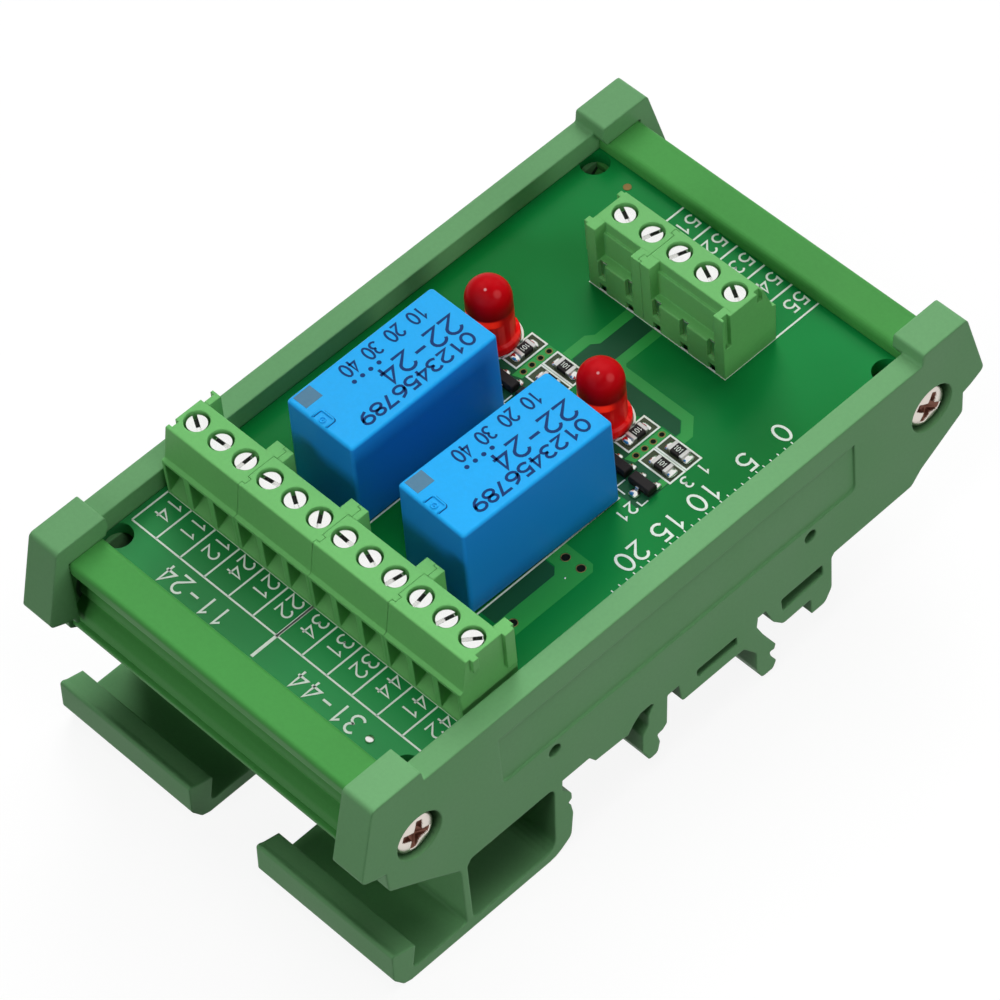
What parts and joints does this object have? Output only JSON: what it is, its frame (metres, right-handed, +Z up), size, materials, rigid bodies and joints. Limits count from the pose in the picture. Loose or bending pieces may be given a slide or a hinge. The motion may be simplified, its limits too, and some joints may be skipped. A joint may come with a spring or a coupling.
{
  "type": "relay module board",
  "caption": "Two relay module: circuit board with screw terminal strips on two edges and indicator lamps, in an extruded carrier between side caps with rail feet.",
  "frame": {"origin": "centre of the bounding box in X and Y, at the underside of the rail feet", "axes": "+X along the mounting rail and both terminal strips; +Y across the rail, from the twelve pole strip to the five pole strip; +Z up, out of the populated side of the board"},
  "size_m": [0.0484, 0.0858, 0.0379],
  "materials": {
    "carrier_green": "satin extruded plastic",
    "cap_green": "fine matt moulded plastic",
    "terminal_green": "satin moulded plastic",
    "board_green": "glossy solder mask over glass fibre",
    "relay_blue": "satin moulded plastic",
    "relay_base": "matt moulded plastic",
    "lamp_red": "clear tinted epoxy",
    "screw_nickel": "nickel plated steel",
    "clamp_metal": "plated steel",
    "pin_tin": "tin plated copper alloy",
    "chip_black": "dark ceramic and epoxy",
    "solder": "bright solder"
  },
  "bodies": {
    "root": {"carrier_tray": "carrier_green", "side_cap_left": "cap_green", "side_cap_right": "cap_green", "cap_screws": "screw_nickel", "circuit_board": "board_green", "output_housing_1": "terminal_green", "output_housing_2": "terminal_green", "output_housing_3": "terminal_green", "output_housing_4": "terminal_green", "output_screws": "screw_nickel", "output_cages": "clamp_metal", "output_pins": "pin_tin", "input_housing_two_pole": "terminal_green", "input_housing_three_pole": "terminal_green", "input_screws": "screw_nickel", "input_cages": "clamp_metal", "input_pins": "pin_tin", "relay_cover_left": "relay_blue", "relay_cover_right": "relay_blue", "relay_base_left": "relay_base", "relay_base_right": "relay_base", "relay_pins": "pin_tin", "led_lens_left": "lamp_red", "led_lens_right": "lamp_red", "led_leads": "pin_tin", "chip_resistors": "chip_black", "chip_resistor_ends": "solder", "transistor_bodies": "chip_black", "transistor_leads": "pin_tin", "solder_joints": "solder"}
  },
  "joints": []
}
